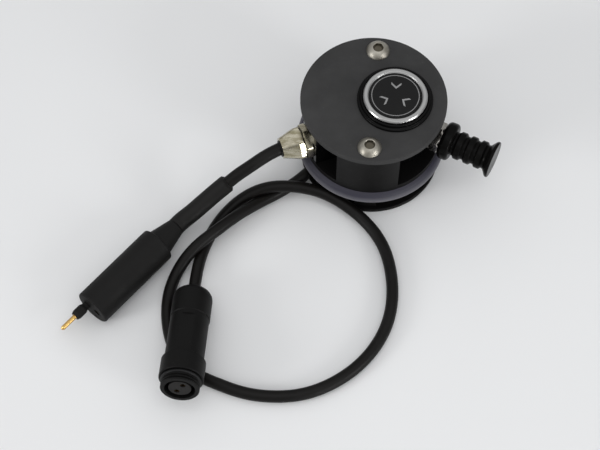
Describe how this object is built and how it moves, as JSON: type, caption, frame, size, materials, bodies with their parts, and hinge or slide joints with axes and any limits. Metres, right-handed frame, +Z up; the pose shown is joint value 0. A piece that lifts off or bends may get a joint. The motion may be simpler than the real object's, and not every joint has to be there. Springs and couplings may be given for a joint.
{
  "type": "dry suit inflation valve",
  "caption": "Round push-button inflation valve with a swivelling hose nipple, side windows, a cable gland with a plug lead, and a second lead that ends in a threaded connector.",
  "frame": {"origin": "centre of the inner cover's flat face, which the valve stands on, on the housing's axis", "axes": "+Z up along the housing's axis, towards the button; +Y through one plate screw; the nipple points towards +X and the gland towards -X"},
  "size_m": [0.1819, 0.1665, 0.05],
  "materials": {
    "plate": "dark grey, fine matt grain",
    "black": "black, satin",
    "gloss": "black, polished",
    "rubber": "black rubber, soft sheen",
    "washer": "grey-violet silicone rubber",
    "steel": "stainless steel, satin",
    "ring": "bright turned ring",
    "nickel": "nickel plate with a warm tone, polished flats",
    "gold": "gilt contacts",
    "brass": "turned brass",
    "resin": "dark potting resin",
    "wire": "red conductor insulation"
  },
  "bodies": {
    "valve": {"top_plate": "plate", "housing": "black", "clamp_nut": "black", "inner_cover": "black", "lead_sleeve": "black", "connector_insert": "black", "valve_core": "gloss", "bezel": "gloss", "feed_block": "gloss", "core_seal": "rubber", "swivel_seals": "rubber", "stem_seal": "rubber", "block_seal": "rubber", "gland_seal": "rubber", "heating_lead": "rubber", "plug_body": "rubber", "inner_lead": "rubber", "connector_nut": "rubber", "connector_shell": "rubber", "connector_seal": "rubber", "suit_washer": "washer", "connector_bush": "washer", "plate_screws": "steel", "cover_screws": "steel", "button_spring": "steel", "gland_body": "nickel", "gland_nut": "nickel", "plug_pin": "gold", "plug_socket": "gold", "connector_contacts": "gold", "core_nut": "brass", "potting": "resin", "feed_wires": "wire", "plug_wires": "wire", "connector_wires": "wire"},
    "swivel": {"swivel_ring": "gloss", "nipple": "steel", "nipple_seal": "rubber"},
    "cap": {"dust_cap": "rubber"},
    "button": {"button_cap": "gloss", "button_ring": "ring", "button_disc": "gloss", "valve_stem": "steel", "poppet": "brass", "poppet_seal": "rubber", "poppet_nut": "steel"}
  },
  "joints": [
    {"name": "nipple_swivel", "type": "hinge", "parent": "valve", "child": "swivel", "pos_m": [0.0092, 0, 0], "axis": [0, 0, 1], "range_deg": [-37, 79]},
    {"name": "cap_pull", "type": "slide", "parent": "swivel", "child": "cap", "axis": [0.9336, -0.3584, 0], "range_m": [0, 0.02]},
    {"name": "button_press", "type": "slide", "parent": "valve", "child": "button", "axis": [0, 0, -1], "range_m": [0, 0.002], "stiffness_N_per_m": 1000, "springref_m": -0.004, "deforming": ["button_spring"]}
  ]
}
